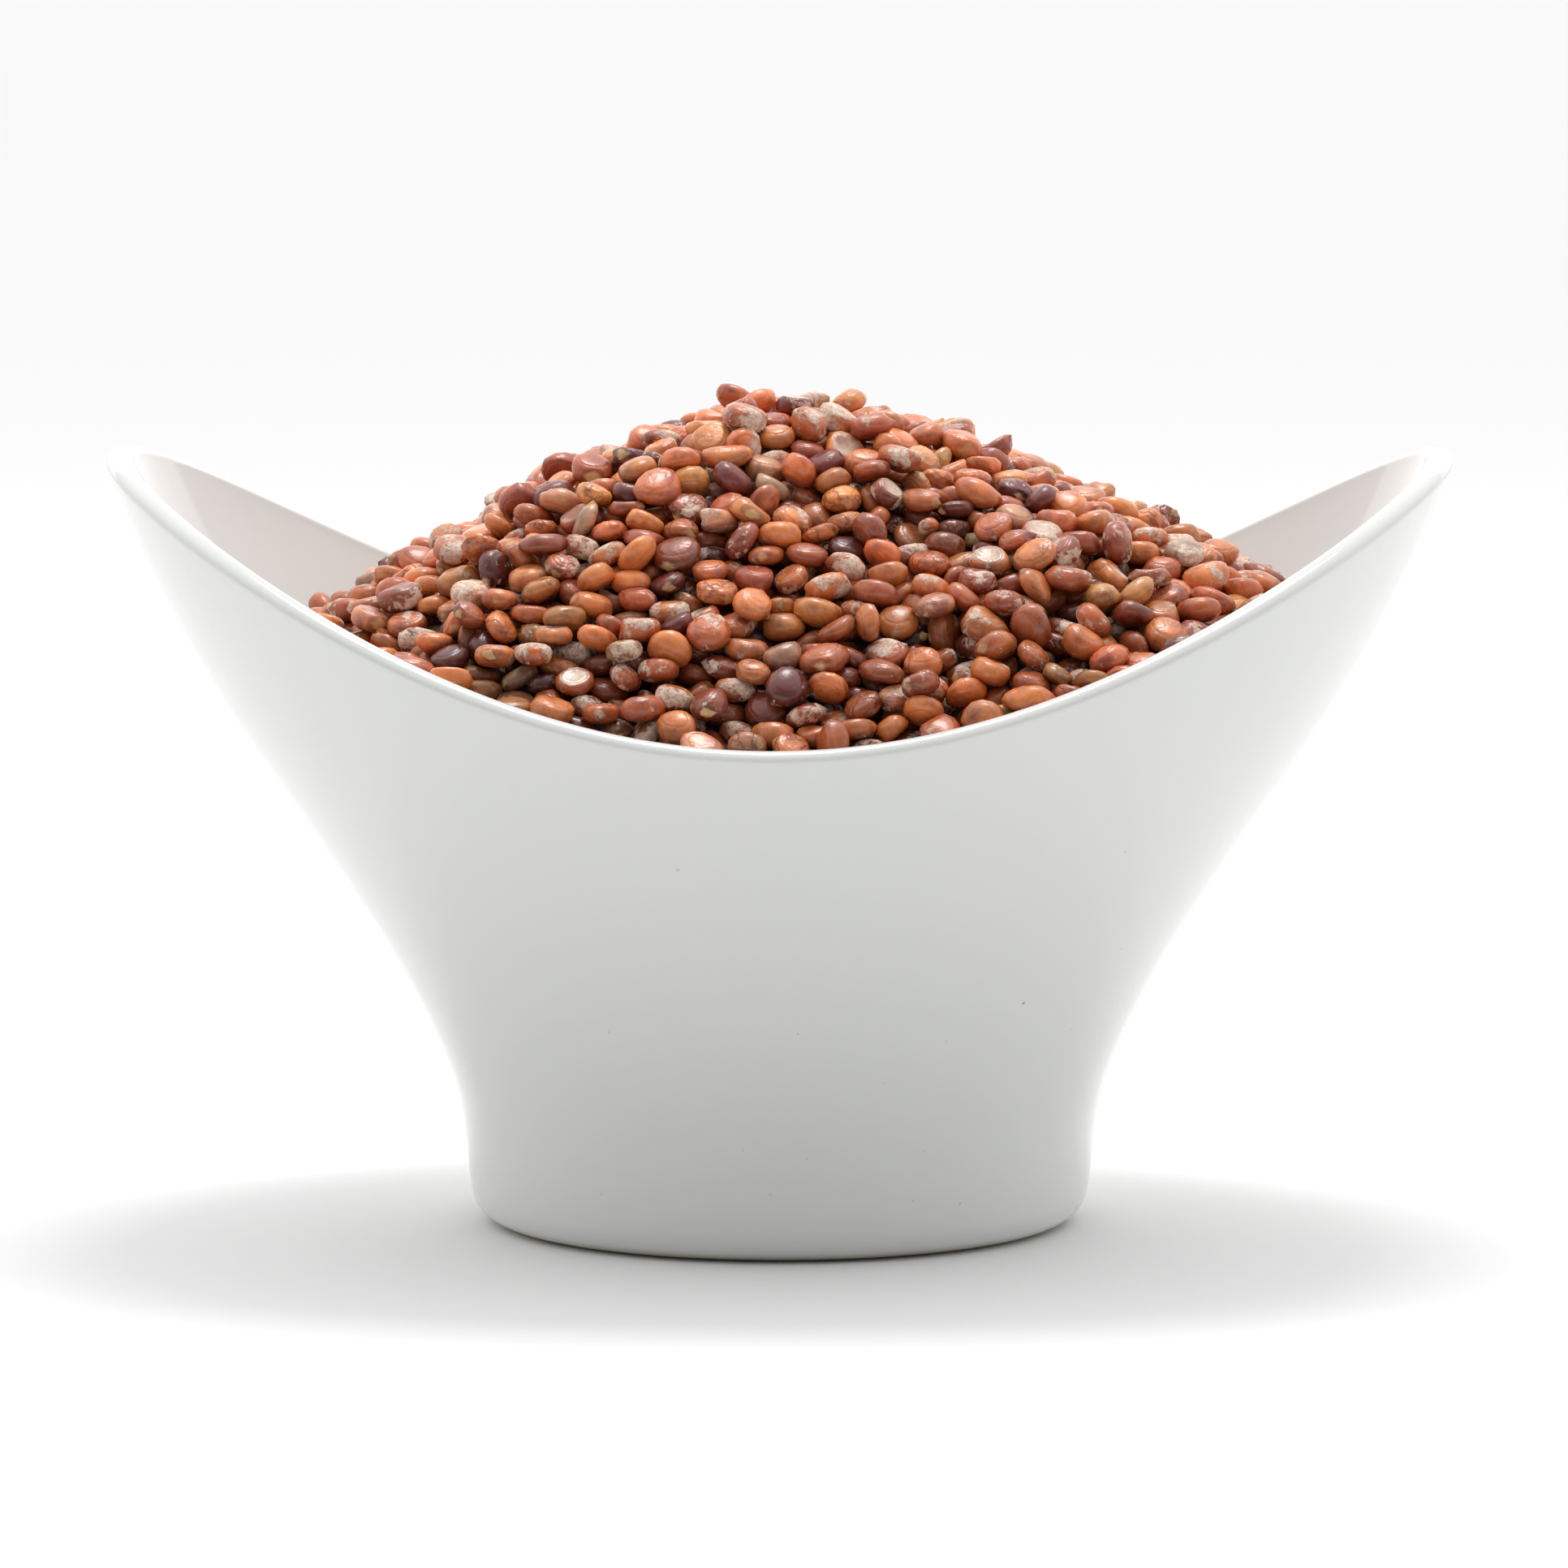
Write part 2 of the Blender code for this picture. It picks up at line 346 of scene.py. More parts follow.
def turnProfile(name, profile, columns):
    # one ring of edges pulled along a profile of (radius, height) from the axis back to the axis
    pickNothing()
    radius, height = profile[0]
    bpy.ops.mesh.primitive_circle_add(
        vertices=columns, radius=radius, fill_type="TRIFAN", location=(0, 0, height)
    )
    turned = bpy.context.object
    turned.name = name
    bpy.ops.object.transform_apply(location=True)
    bpy.ops.object.mode_set(mode="EDIT")
    bpy.ops.mesh.select_mode(type="EDGE")
    bpy.ops.mesh.select_all(action="DESELECT")
    work = bmesh.from_edit_mesh(turned.data)
    for edge in work.edges:
        edge.select_set(edge.is_boundary)
    bmesh.update_edit_mesh(turned.data)
    for nextRadius, nextHeight in profile[1:]:
        bpy.ops.mesh.extrude_edges_move(TRANSFORM_OT_translate={"value": (0, 0, nextHeight - height)})
        grow = nextRadius / radius
        bpy.ops.transform.resize(value=(grow, grow, 1), center_override=(0, 0, nextHeight))
        radius, height = nextRadius, nextHeight
    bpy.ops.mesh.extrude_edges_move(TRANSFORM_OT_translate={"value": (0, 0, 0)})
    bpy.ops.mesh.merge(type="CENTER")
    bpy.ops.mesh.select_all(action="SELECT")
    bpy.ops.mesh.normals_make_consistent(inside=False)
    bpy.ops.object.mode_set(mode="OBJECT")
    return turned


def readPoints(mesh):
    points = np.empty(len(mesh.vertices) * 3)
    mesh.vertices.foreach_get("co", points)
    return points.reshape(-1, 3)


def writePoints(mesh, points):
    mesh.vertices.foreach_set("co", points.ravel())
    mesh.update()


# the bowl's profile, from under the foot, up the outside, over the lip and down the inside
bowlMesh = {
    "columns": 128,
    "footSteps": 4,
    "lowRows": 4,
    "wallRows": 16,
    "lipSteps": 12,
    "filletSteps": 8,
}


def bowlProfile():
    s = wallShape
    foot = [(s["footInner"] - s["recess"] / 2, s["recess"]), (s["footInner"], 0.0)]
    turn = s["footRounding"]
    footRadius = float(wallRadius(turn))
    rounding = arc((s["footOuter"], turn), (footRadius - s["footOuter"], turn), -90, 0, bowlMesh["footSteps"])
    low = [(float(wallRadius(z)), float(z)) for z in np.linspace(*s["lowWall"], bowlMesh["lowRows"])]
    heights = np.linspace(s["filletTop"], lipCentre - s["beadDrop"], bowlMesh["wallRows"])
    outside = [(float(wallRadius(z)), float(z)) for z in heights]
    middle = float(wallRadius(lipCentre)) - s["rimThickness"] + s["lip"] / 2
    halfLip = (s["lip"] / 2, s["lipRise"])
    lip = arc((middle, lipCentre), halfLip, s["beadTurn"], 180, bowlMesh["lipSteps"])
    shares = (heights - s["filletTop"]) / (lipCentre - s["filletTop"])
    inside = [(float(wallRadius(z) - wallThickness(t)), float(z)) for z, t in zip(heights, shares)]
    deep = s["filletTop"] - s["floor"]
    wide = inside[0][0] - s["floorRadius"]
    fillet = arc((s["floorRadius"], s["filletTop"]), (wide, deep), 0, -90, bowlMesh["filletSteps"])
    floor = [(s["floorRadius"] / 2, s["floor"])]
    return foot + rounding + low + outside + lip + inside[::-1] + fillet[1:] + floor


def saddle(mesh):
    # lowers each column of the turned bowl to its own crest, along the same wall
    points = readPoints(mesh)
    radius = np.hypot(points[:, 0], points[:, 1])
    angle = np.arctan2(points[:, 1], points[:, 0])
    base = wallShape["filletTop"]
    share = np.clip((points[:, 2] - base) / (lipCentre - base), 0, 1)
    drop = share * (wallShape["tipCrest"] - crestHeight(angle))
    level = np.minimum(points[:, 2], lipCentre)
    radius = radius + np.where(share > 0, wallRadius(level - drop) - wallRadius(level), 0)
    points = np.stack([radius * np.cos(angle), radius * np.sin(angle), points[:, 2] - drop], 1)
    writePoints(mesh, points)


def makeBowl():
    bowl = turnProfile("glazedBowl", bowlProfile(), bowlMesh["columns"])
    saddle(bowl.data)
    smooth = bowl.modifiers.new("smooth", "SUBSURF")
    smooth.levels = smooth.render_levels = 1
    bpy.ops.object.modifier_apply(modifier="smooth")
    finishPiece(bowl, glazeFinish())
    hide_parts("bowl")


# the heap: its apex, and how its edge climbs the inside of the bowl
heapShape = {
    "apex": (0.0013, 0.0, 0.0480),
    "edgeLevel": 0.0336,
    "edgeTilt": 0.0012,
    "edgeClimb": 0.0016,
    "belowCrest": 0.0005,
    "edgeBlend": 0.0012,
    "domePower": 1.5,
    "gap": 0.0003,
    "coreDepth": 0.0031,
    "ringSteps": 180,
    "pastEdge": 1.15,
}


def edgeHeight(angle):
    s = heapShape
    level = s["edgeLevel"] + s["edgeTilt"] * np.cos(angle) + s["edgeClimb"] * np.sin(angle) ** 2
    limit = crestHeight(angle) - s["belowCrest"]
    blend = s["edgeBlend"] * np.log1p(np.exp(-np.abs(level - limit) / s["edgeBlend"]))
    return np.minimum(level, limit) - blend


def edgeRing():
    # the heap's edge seen from its apex, as (angle, distance, height), sorted by angle
    turns = np.linspace(-math.pi, math.pi, heapShape["ringSteps"], endpoint=False)
    heights = edgeHeight(turns)
    radii = cavityRadius(heights, turns) - heapShape["gap"]
    x = radii * np.cos(turns) - heapShape["apex"][0]
    y = radii * np.sin(turns)
    order = np.argsort(np.arctan2(y, x))
    return np.arctan2(y, x)[order], np.hypot(x, y)[order], heights[order]


ringAngles, ringReach, ringHeights = edgeRing()


def domeHeight(x, y):
    # the heap's smooth upper surface over a plan point, and how far out the point lies
    apex = heapShape["apex"]
    angle = np.arctan2(y, x - apex[0])
    reach = np.interp(angle, ringAngles, ringReach, period=2 * math.pi)
    height = np.interp(angle, ringAngles, ringHeights, period=2 * math.pi)
    share = np.minimum(heapShape["pastEdge"], np.hypot(x - apex[0], y) / reach)
    return apex[2] - (apex[2] - height) * share ** heapShape["domePower"], share


def domeNormal(x, y):
    step = 0.0006
    slopeX = (domeHeight(x + step, y)[0] - domeHeight(x - step, y)[0]) / (2 * step)
    slopeY = (domeHeight(x, y + step)[0] - domeHeight(x, y - step)[0]) / (2 * step)
    normal = np.stack([-slopeX, -slopeY, np.ones_like(slopeX)], 1)
    return normal / np.linalg.norm(normal, axis=1)[:, None]


# settling: grains are thrown over the core, mostly lying flat, then pushed apart until they rest
grainSize = {"width": 0.00233, "thickness": 0.00132, "spread": 0.08, "limits": (-2, 1.6)}
settling = {
    "count": 1920,
    "rounds": 260,
    "seed": 12,
    "pull": 0.000022,
    "turn": 0.16,
    "hold": 0.03,
    "lean": 0.36,
    "tumbled": 0.14,
    "lowest": 0.0030,
    "highest": -0.0004,
    "steepShare": 0.72,
    "proud": 0.001,
    "nearEvery": 6,
    "near": 1.25,
    "push": 0.3,
    "lift": 0.5,
    "calmFrom": 0.8,
    "calmPull": 0.3,
    "wallRoom": 0.95,
    "wallPush": 0.8,
}


def unit(vectors):
    return vectors / np.linalg.norm(vectors, axis=1)[:, None]


def throwGrains(draw):
    reach = wallShape["knots"][-1][1]
    places = []
    while len(places) < settling["count"]:
        x, y = draw.uniform(-reach, reach, 2)
        surface, share = domeHeight(np.array([x]), np.array([y]))
        slope = domeNormal(np.array([x]), np.array([y]))[0]
        if share[0] > 1.0 or draw.uniform() > settling["steepShare"] / slope[2]:
            continue
        places.append((x, y, surface[0] - draw.uniform(settling["highest"], settling["lowest"])))
    return np.array(places)


def throwAxes(draw, places):
    # most lie nearly flat, some have tumbled; none stands on its rim on top of the heap
    count = len(places)
    proud = places[:, 2] > domeHeight(places[:, 0], places[:, 1])[0] - settling["proud"]
    flat = unit(np.array([0, 0, 1]) + draw.standard_normal((count, 3)) * settling["lean"])
    tumbled = unit(draw.standard_normal((count, 3)))
    onEdge = (draw.uniform(0, 1, count) < settling["tumbled"]) & ~proud
    return np.where(onEdge[:, None], tumbled, flat)


def touching(places, reach):
    square = (places**2).sum(1)
    apart = square[:, None] + square[None, :] - 2 * places @ places.T
    return np.nonzero(np.triu(apart < reach * reach, 1))


def settleGrains(sizes, draw):
    places = throwGrains(draw)
    count = len(places)
    axes = thrown = throwAxes(draw, places)
    width, thickness = grainSize["width"], grainSize["thickness"]
    flatness = (thickness**2 - width**2) / (thickness**2 + width**2)

    def halfSpan(lean):
        # how far a grain reaches along a direction that leans this much from its axis
        return np.sqrt(width**2 * (1 - lean**2) + thickness**2 * lean**2) / 2 * sizes

    for step in range(settling["rounds"]):
        if step % settling["nearEvery"] == 0:
            first, second = touching(places, width * settling["near"])
        between = places[second] - places[first]
        distance = np.linalg.norm(between, axis=1).clip(1e-6)
        toward = between / distance[:, None]
        a = (axes[first] * toward).sum(1)
        b = (axes[second] * toward).sum(1)
        both = flatness * (axes[first] * axes[second]).sum(1)
        same = (a + b) / (1 + both)
        differ = (a - b) / (1 - both)
        shape = 1 - flatness / 2 * ((a + b) * same + (a - b) * differ)
        contact = width * (sizes[first] + sizes[second]) / 2 / np.sqrt(shape)
        deep = (contact - distance).clip(0)
        push = toward * (deep * settling["push"])[:, None]
        lever = settling["turn"] * (deep / width)[:, None] * toward
        move = np.zeros_like(places)
        twist = (thrown - axes) * settling["hold"]
        np.add.at(move, first, -push)
        np.add.at(move, second, push)
        np.add.at(twist, first, lever * (same + differ)[:, None])
        np.add.at(twist, second, lever * (same - differ)[:, None])
        normals = domeNormal(places[:, 0], places[:, 1])
        surface, _ = domeHeight(places[:, 0], places[:, 1])
        above = (places[:, 2] - surface) * normals[:, 2] + heapShape["coreDepth"]
        lift = (halfSpan((axes * normals).sum(1)) - above).clip(0)
        easing = 1 if step < settling["rounds"] * settling["calmFrom"] else settling["calmPull"]
        move += normals * (lift * settling["lift"] - settling["pull"] * easing)[:, None]
        places = places + move
        radial = np.hypot(places[:, 0], places[:, 1])
        outward = np.stack([places[:, 0], places[:, 1], 0 * radial], 1) / radial[:, None]
        angle = np.arctan2(places[:, 1], places[:, 0])
        room = cavityRadius(places[:, 2], angle)
        room = room - halfSpan((axes * outward).sum(1)) * settling["wallRoom"]
        places -= outward * ((radial - room).clip(0) * settling["wallPush"])[:, None]
        axes = unit(axes + twist)
    overlap = round(float(deep.mean()) * 1e6)
    print("settled", count, "grains, overlapping", overlap, "micrometres on average")
    return places, axes


# the kinds of grain: share of the heap, size, how full the section is, a flattened side, and its dents
grainKinds = {
    "plumpGrains": {
        "share": 0.30,
        "size": 1.0,
        "full": 0.72,
        "flat": 0.84,
        "side": 0.08,
        "nudges": [],
    },
    "tippedGrains": {
        "share": 0.24,
        "size": 1.0,
        "full": 0.74,
        "flat": 0.84,
        "side": 0.0,
        "nudges": [
            ((1, 0, 0), (0.17, 0.02, 0.0), 0.45),
            ((0.86, 0.5, 0), (-0.15, -0.13, 0), 0.36),
            ((0, 0, 1), (0, 0, -0.10), 0.5),
        ],
    },
    "bandedGrains": {
        "share": 0.20,
        "size": 1.0,
        "full": 0.66,
        "flat": 0.75,
        "side": 0.30,
        "nudges": [((0, 0, 1), (0, 0, -0.18), 0.8), ((0.9, 0.4, 0), (0.06, 0.05, 0.0), 0.4)],
    },
    "wrinkledGrains": {
        "share": 0.14,
        "size": 0.97,
        "full": 0.78,
        "flat": 0.85,
        "side": 0.15,
        "nudges": [
            ((0.5, 0.2, 0.8), (0, 0, -0.34), 0.45),
            ((-0.5, -0.4, 0.7), (0.05, 0.0, -0.22), 0.5),
            ((0.7, -0.7, 0.1), (-0.2, 0.18, 0), 0.5),
            ((1, 0.1, 0), (0.14, 0, 0), 0.35),
        ],
    },
    "splitGrains": {
        "share": 0.06,
        "size": 1.0,
        "full": 0.75,
        "flat": 0.90,
        "side": 0.0,
        "nudges": [((0, 0, 1), (0.1, 0, -0.6), 0.9), ((1, 0, 0), (0.10, 0, 0), 0.4)],
    },
    "brokenGrains": {
        "share": 0.06,
        "size": 0.55,
        "full": 0.7,
        "flat": 0.9,
        "side": 0.5,
        "nudges": [],
        "cut": 0.1,
    },
}
grainMesh = {"segments": 12, "rings": 8, "sideFrom": -0.55, "cutFacing": (1, 0.3, 0.25)}


def pickPoints(mesh, wanted):
    work = bmesh.from_edit_mesh(mesh)
    for part in (*work.verts, *work.edges, *work.faces):
        part.select_set(False)
    for vertex in [v for v in work.verts if wanted(v)]:
        vertex.select_set(True)
    bmesh.update_edit_mesh(mesh)


def pointsOf(grain):
    return [v.co.copy() for v in bmesh.from_edit_mesh(grain.data).verts]


def modelGrain(kind):
    # one grain of unit half-width and unit half-thickness, its disc lying flat
    pickNothing()
    bpy.ops.mesh.primitive_uv_sphere_add(
        segments=grainMesh["segments"], ring_count=grainMesh["rings"], radius=1, location=(0, 0, 0)
    )
    grain = bpy.context.object
    bpy.ops.object.mode_set(mode="EDIT")
    bpy.ops.mesh.select_mode(type="VERT")
    for turn in range(1, grainMesh["rings"]):
        level = math.cos(math.pi * turn / grainMesh["rings"])
        wide = math.sin(math.pi * turn / grainMesh["rings"])
        pickPoints(grain.data, lambda v: abs(v.co.z - level) < 0.01)
        grow = wide ** kind["full"] / wide
        bpy.ops.transform.resize(value=(grow, grow, 1), center_override=(0, 0, 0))
        raised = math.copysign(abs(level) ** kind["flat"], level) - level
        bpy.ops.transform.translate(value=(0, 0, raised))
    sideFrom = grainMesh["sideFrom"]
    if kind["side"]:
        pickPoints(grain.data, lambda v: v.co.x < sideFrom)
        bpy.ops.transform.resize(value=(1 - kind["side"], 1, 1), center_override=(sideFrom, 0, 0))
    for centre, offset, reach in kind["nudges"]:
        target = Vector(centre)
        nearest = min(pointsOf(grain), key=lambda v: (v - target).length)
        pickPoints(grain.data, lambda v: (v.co - nearest).length < 0.001)
        bpy.ops.transform.translate(
            value=offset,
            use_proportional_edit=True,
            proportional_edit_falloff="SMOOTH",
            proportional_size=reach,
        )
    if "cut" in kind:
        pickPoints(grain.data, lambda v: True)
        bpy.ops.mesh.bisect(
            plane_co=(kind["cut"], 0, 0), plane_no=grainMesh["cutFacing"], clear_outer=True, use_fill=True
        )
    bpy.ops.object.mode_set(mode="OBJECT")
    points = np.array([v.co[:] for v in grain.data.vertices])
    faces = [tuple(p.vertices) for p in grain.data.polygons]
    bpy.data.objects.remove(grain)
    return points, faces


# seed coats: base colour, share of the grains, and how chalky they tend to be
coatKinds = [
    ((0.81, 0.247, 0.072), 0.31, 0.30),
    ((0.665, 0.165, 0.054), 0.28, 0.35),
    ((0.43, 0.095, 0.041), 0.18, 0.40),
    ((0.76, 0.300, 0.155), 0.08, 0.50),
    ((0.68, 0.270, 0.075), 0.06, 0.15),
    ((0.18, 0.034, 0.026), 0.06, 0.15),
    ((0.60, 0.330, 0.190), 0.022, 0.80),
    ((0.76, 0.520, 0.240), 0.004, 0.10),
    ((0.36, 0.240, 0.170), 0.004, 0.80),
]
coatLook = {
    "chalkPale": (0.88, 0.74, 0.62, 1),
    "chalkDusty": (0.62, 0.42, 0.31, 1),
    "amber": (0.66, 0.42, 0.18, 1),
    "stain": (0.36, 0.24, 0.24, 1),
    "insidePale": (0.78, 0.60, 0.46, 1),
    "insideDeep": (0.52, 0.27, 0.19, 1),
    "roughness": 0.23,
    "chalkRoughness": 0.40,
    "fineRoughness": 0.12,
    "specular": 0.75,
    "mottle": (800.0, 3.0, 0.6),  # each noise as scale, detail and roughness
    "fine": (4200.0, 2.0, 0.6),
    "patch": (560.0, 4.0, 0.62),
    "vein": (900.0, 2.0, 0.5),
    "mottleTones": [(0.30, (0.56, 0.48, 0.50)), (0.50, (1.0, 1.0, 1.0)), (0.74, (1.25, 1.32, 1.15))],
    "veinSharp": 14.0,
    "ringAt": 0.80,
    "ringSharp": 9.0,
    "ringAbove": 0.4,
    "brink": (0.92, 1.03),
    "tip": (1.05, 1.13),
    "fineWear": (0.38, 0.62),
    "patchWear": (0.4, 0.6),
    "chalkEdge": 18.0,
    "chalkFrom": 0.75,
    "chalkReach": 0.33,
    "chalkCover": 0.92,
    "staining": {"veins": 0.8, "ring": 0.12, "brink": 0.55, "crust": 0.35},
    "heights": {"mottle": 0.5, "fine": 0.2, "chalk": 0.35, "veins": 0.7, "ring": 0.3, "brink": 0.3},
    "reliefDepth": 0.00014,
    # painted shade for seeds buried deep or low in the heap, and a painted highlight for those near its top
    "shadeFrom": 0.0012,
    "shadeTo": 0.0032,
    "shadeLeast": 0.45,
    "lowLevel": 0.034,
    "highLevel": 0.0475,
    "lowPaintedShade": (0.82, 0.79, 0.80),
    "topPaintedLight": (1.18, 1.31, 1.38),
    "palest": 0.90,
    # painted shade: each seed darker towards its lowest point
    "underside": (0.44, 0.36, 0.34),
    "relief": 0.5,
    "undersideReach": 1.6,
    "chalky": 0.40,
    "tipped": 0.55,
    "toneSpread": (0.74, 1.20),
    "hueSpread": (0.95, 1.05),
    "chalkPatchy": (0.38, 0.85),
    "chalkClean": (0, 0.3),
    "tipSpread": (0.3, 1.0),
    "wrinkledVeins": (0.5, 1),
    "smoothVeins": (0, 0.3),
}


def coatFinish():
    look = coatLook
    finish = Finish(bpy.data.materials.new("seed coat"))
    place = finish.place()
    coat = finish.attribute("coat", "Color")
    opened = finish.attribute("coat", "Alpha")
    along, across, depth = finish.split(finish.attribute("local", "Vector"))
    chalky, tipped, wrinkled = finish.split(finish.attribute("lot", "Vector"))
    mottle = finish.noise(place, *look["mottle"])
    fine = finish.noise(place, *look["fine"])
    patch = finish.noise(place, *look["patch"])
    rim = (along * along + across * across) ** 0.5 + mottle * 0.2
    veins = (1 - abs(finish.noise(place, *look["vein"]) - 0.5) * look["veinSharp"]).held() * wrinkled
    ring = (1 - abs(rim - look["ringAt"]) * look["ringSharp"]).held() * (look["ringAbove"] < abs(depth))
    settings = {"stops": look["mottleTones"]}
    shade = finish.node("ShaderNodeValToRGB", settings, {"Fac": mottle}, out="Color")
    colour = finish.blend(1.0, coat, shade, "MULTIPLY")
    toTip = along + mottle * 0.3
    brink = toTip.step(*look["brink"]) * tipped
    tip = toTip.step(*look["tip"]) * tipped
    inside = finish.blend(patch.step(*look["patchWear"]), look["insideDeep"], look["insidePale"])
    colour = finish.blend((1 - opened + mottle * 0.8 - 0.4).step(*look["patchWear"]), colour, inside)
    needed = look["chalkFrom"] - chalky * look["chalkReach"]
    mask = ((patch + fine * 0.30 - 0.15 - needed) * look["chalkEdge"]).held()
    crust = mask * (1 - mask) * 4.0
    dark = look["staining"]
    stained = veins * dark["veins"] + ring * dark["ring"] + brink * dark["brink"] + crust * dark["crust"]
    colour = finish.blend(stained.held(), colour, finish.blend(1.0, colour, look["stain"], "MULTIPLY"))
    colour = finish.blend(tip, colour, look["amber"])
    chalk = finish.blend(fine.step(*look["fineWear"]), look["chalkPale"], look["chalkDusty"])
    colour = finish.blend(mask * look["chalkCover"], colour, chalk)
    tall = look["heights"]
    height = mottle * tall["mottle"] + fine * tall["fine"] + mask * tall["chalk"]
    height = height - veins * tall["veins"] - ring * tall["ring"] - brink * tall["brink"]
    bump = {"Height": height, "Strength": look["relief"], "Distance": look["reliefDepth"]}
    rough = look["roughness"] + mask * look["chalkRoughness"] + fine * look["fineRoughness"]
    normal = finish.node("ShaderNodeBump", {}, bump)
    finish.set(Base_Color=colour, Roughness=rough, Normal=normal, Specular_IOR_Level=look["specular"])
    return finish.owner


# how much each grain differs from the modelled one: its stretch, and the waves that bend it
grainBend = {
    "longer": (0.98, 1.10),
    "shorter": (0.88, 1.01),
    "thicker": (0.86, 1.12),
    "waves": 3,
    "waveReach": 3.0,
    "waveHeight": 0.052,
}


def spreadGrains(points, places, axes, sizes, draw):
    # copies the modelled grain to each place, every copy bent a little its own way
    count = len(places)
    side = unit(np.cross(axes, unit(draw.standard_normal((count, 3)))))
    across = np.cross(axes, side)
    longer = draw.uniform(*grainBend["longer"], count)
    shorter = draw.uniform(*grainBend["shorter"], count)
    thicker = draw.uniform(*grainBend["thicker"], count)
    stretch = np.stack([longer, shorter, thicker], 1) * sizes[:, None]
    half = np.array([grainSize["width"], grainSize["width"], grainSize["thickness"]]) / 2
    local = np.repeat(points[None], count, 0)
    for _ in range(grainBend["waves"]):
        wave = draw.uniform(-grainBend["waveReach"], grainBend["waveReach"], (count, 3))
        phase = draw.uniform(0, 2 * math.pi, (count, 1))
        offset = draw.standard_normal((count, 1, 3)) * grainBend["waveHeight"]
        local = local + np.sin((local * wave[:, None]).sum(2) + phase)[:, :, None] * offset
    local = local * (stretch * half)[:, None]
    turned = local[:, :, :1] * side[:, None] + local[:, :, 1:2] * across[:, None]
    turned = turned + local[:, :, 2:] * axes[:, None]
    return turned + places[:, None]


def paintGrains(mesh, name, points, world, shade, draw):
    # what the seed coat reads at each point: its colour with painted shade darkening each seed's underside,
    # its place on the grain, and the grain's own lot
    look = coatLook
    count = len(shade)
    shares = np.array([kind[1] for kind in coatKinds])
    pick = draw.choice(len(coatKinds), count, p=shares / shares.sum())
    tone = np.array([kind[0] for kind in coatKinds])[pick]
    tone = tone * draw.uniform(*look["toneSpread"], (count, 1)) * draw.uniform(*look["hueSpread"], (count, 3))
    # each seed's colour carries painted shade and light from its place in the heap
    tone = (tone * shade).clip(0, look["palest"])
    radius = np.hypot(points[:, 0], points[:, 1])
    opened = np.zeros(len(points))
    if name == "splitGrains":
        opened = (points[:, 2] > 0) * (1 - radius).clip(0, 0.5) * 2
    if name == "brokenGrains":
        opened = (points[:, 0] > -0.15) * 1.0
    chalk = np.array([kind[2] for kind in coatKinds])[pick]
    patchy = draw.uniform(0, 1, count) < look["chalky"] * (0.5 + 1.5 * chalk)
    dusty = draw.uniform(*look["chalkPatchy"], count)
    chalk = np.where(patchy, dusty, draw.uniform(*look["chalkClean"], count))
    tipped = (draw.uniform(0, 1, count) < look["tipped"]) * draw.uniform(*look["tipSpread"], count)
    veins = look["wrinkledVeins"] if name == "wrinkledGrains" else look["smoothVeins"]
    wrinkled = draw.uniform(*veins, count)
    rgba = np.empty((count, len(points), 4))
    # painted shade on each seed's underside, fading up to the seed's own colour towards its top
    lowest = world[:, :, 2].min(1)[:, None]
    rise = (world[:, :, 2] - lowest) / (world[:, :, 2].max(1)[:, None] - lowest)
    rise = (rise * look["undersideReach"]).clip(0, 1)[:, :, None]
    rgba[:, :, :3] = tone[:, None] * (np.array(look["underside"]) * (1 - rise) + rise)
    rgba[:, :, 3] = 1 - opened
    mesh.attributes.new("coat", "FLOAT_COLOR", "POINT").data.foreach_set("color", rgba.ravel())
    local = np.repeat(points[None], count, 0)
    mesh.attributes.new("local", "FLOAT_VECTOR", "POINT").data.foreach_set("vector", local.ravel())
    lots = np.repeat(np.stack([chalk, tipped, wrinkled], 1), len(points), 0)
    mesh.attributes.new("lot", "FLOAT_VECTOR", "POINT").data.foreach_set("vector", lots.ravel())


def paintedHeapShading(places):
    # painted shade and light: seeds deeper in the heap and lower on it are darker as painted shade, those
    # near its top paler as a painted highlight
    look = coatLook
    depth = domeHeight(places[:, 0], places[:, 1])[0] - places[:, 2]
    t = ((depth - look["shadeFrom"]) / (look["shadeTo"] - look["shadeFrom"])).clip(0, 1)
    buried = 1 - (1 - look["shadeLeast"]) * t * t * (3 - 2 * t)
    climb = (places[:, 2] - look["lowLevel"]) / (look["highLevel"] - look["lowLevel"])
    climb = climb.clip(0, 1)[:, None]
    level = np.array(look["lowPaintedShade"]) * (1 - climb) + np.array(look["topPaintedLight"]) * climb
    return buried[:, None] * level


def joinGrains(name, kind, places, axes, sizes, draw, material):
    points, faces = modelGrain(kind)
    world = spreadGrains(points, places, axes, sizes, draw)
    count = len(places)
    allFaces = [tuple(i + n * len(points) for i in face) for n in range(count) for face in faces]
    mesh = bpy.data.meshes.new(name)
    mesh.from_pydata(world.reshape(-1, 3).tolist(), [], allFaces)
    paintGrains(mesh, name, points, world, paintedHeapShading(places), draw)
    piece = bpy.data.objects.new(name, mesh)
    bpy.context.scene.collection.objects.link(piece)
    finishPiece(piece, material)
    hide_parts("quinoa")
    print("joined", count, name, "of", len(faces), "faces each")


def makeHeap():
    draw = np.random.default_rng(settling["seed"])
    kinds = list(grainKinds.items())
    shares = np.array([kind["share"] for _, kind in kinds])
    picked = draw.choice(len(kinds), settling["count"], p=shares / shares.sum())
    sizes = np.array([kind["size"] for _, kind in kinds])[picked]
    spread = draw.standard_normal(len(sizes)).clip(*grainSize["limits"])
    sizes = sizes * (1 + grainSize["spread"] * spread)
    places, axes = settleGrains(sizes, draw)
    material = coatFinish()
    for i, (name, kind) in enumerate(kinds):
        chosen = picked == i
        joinGrains(name, kind, places[chosen], axes[chosen], sizes[chosen], draw, material)
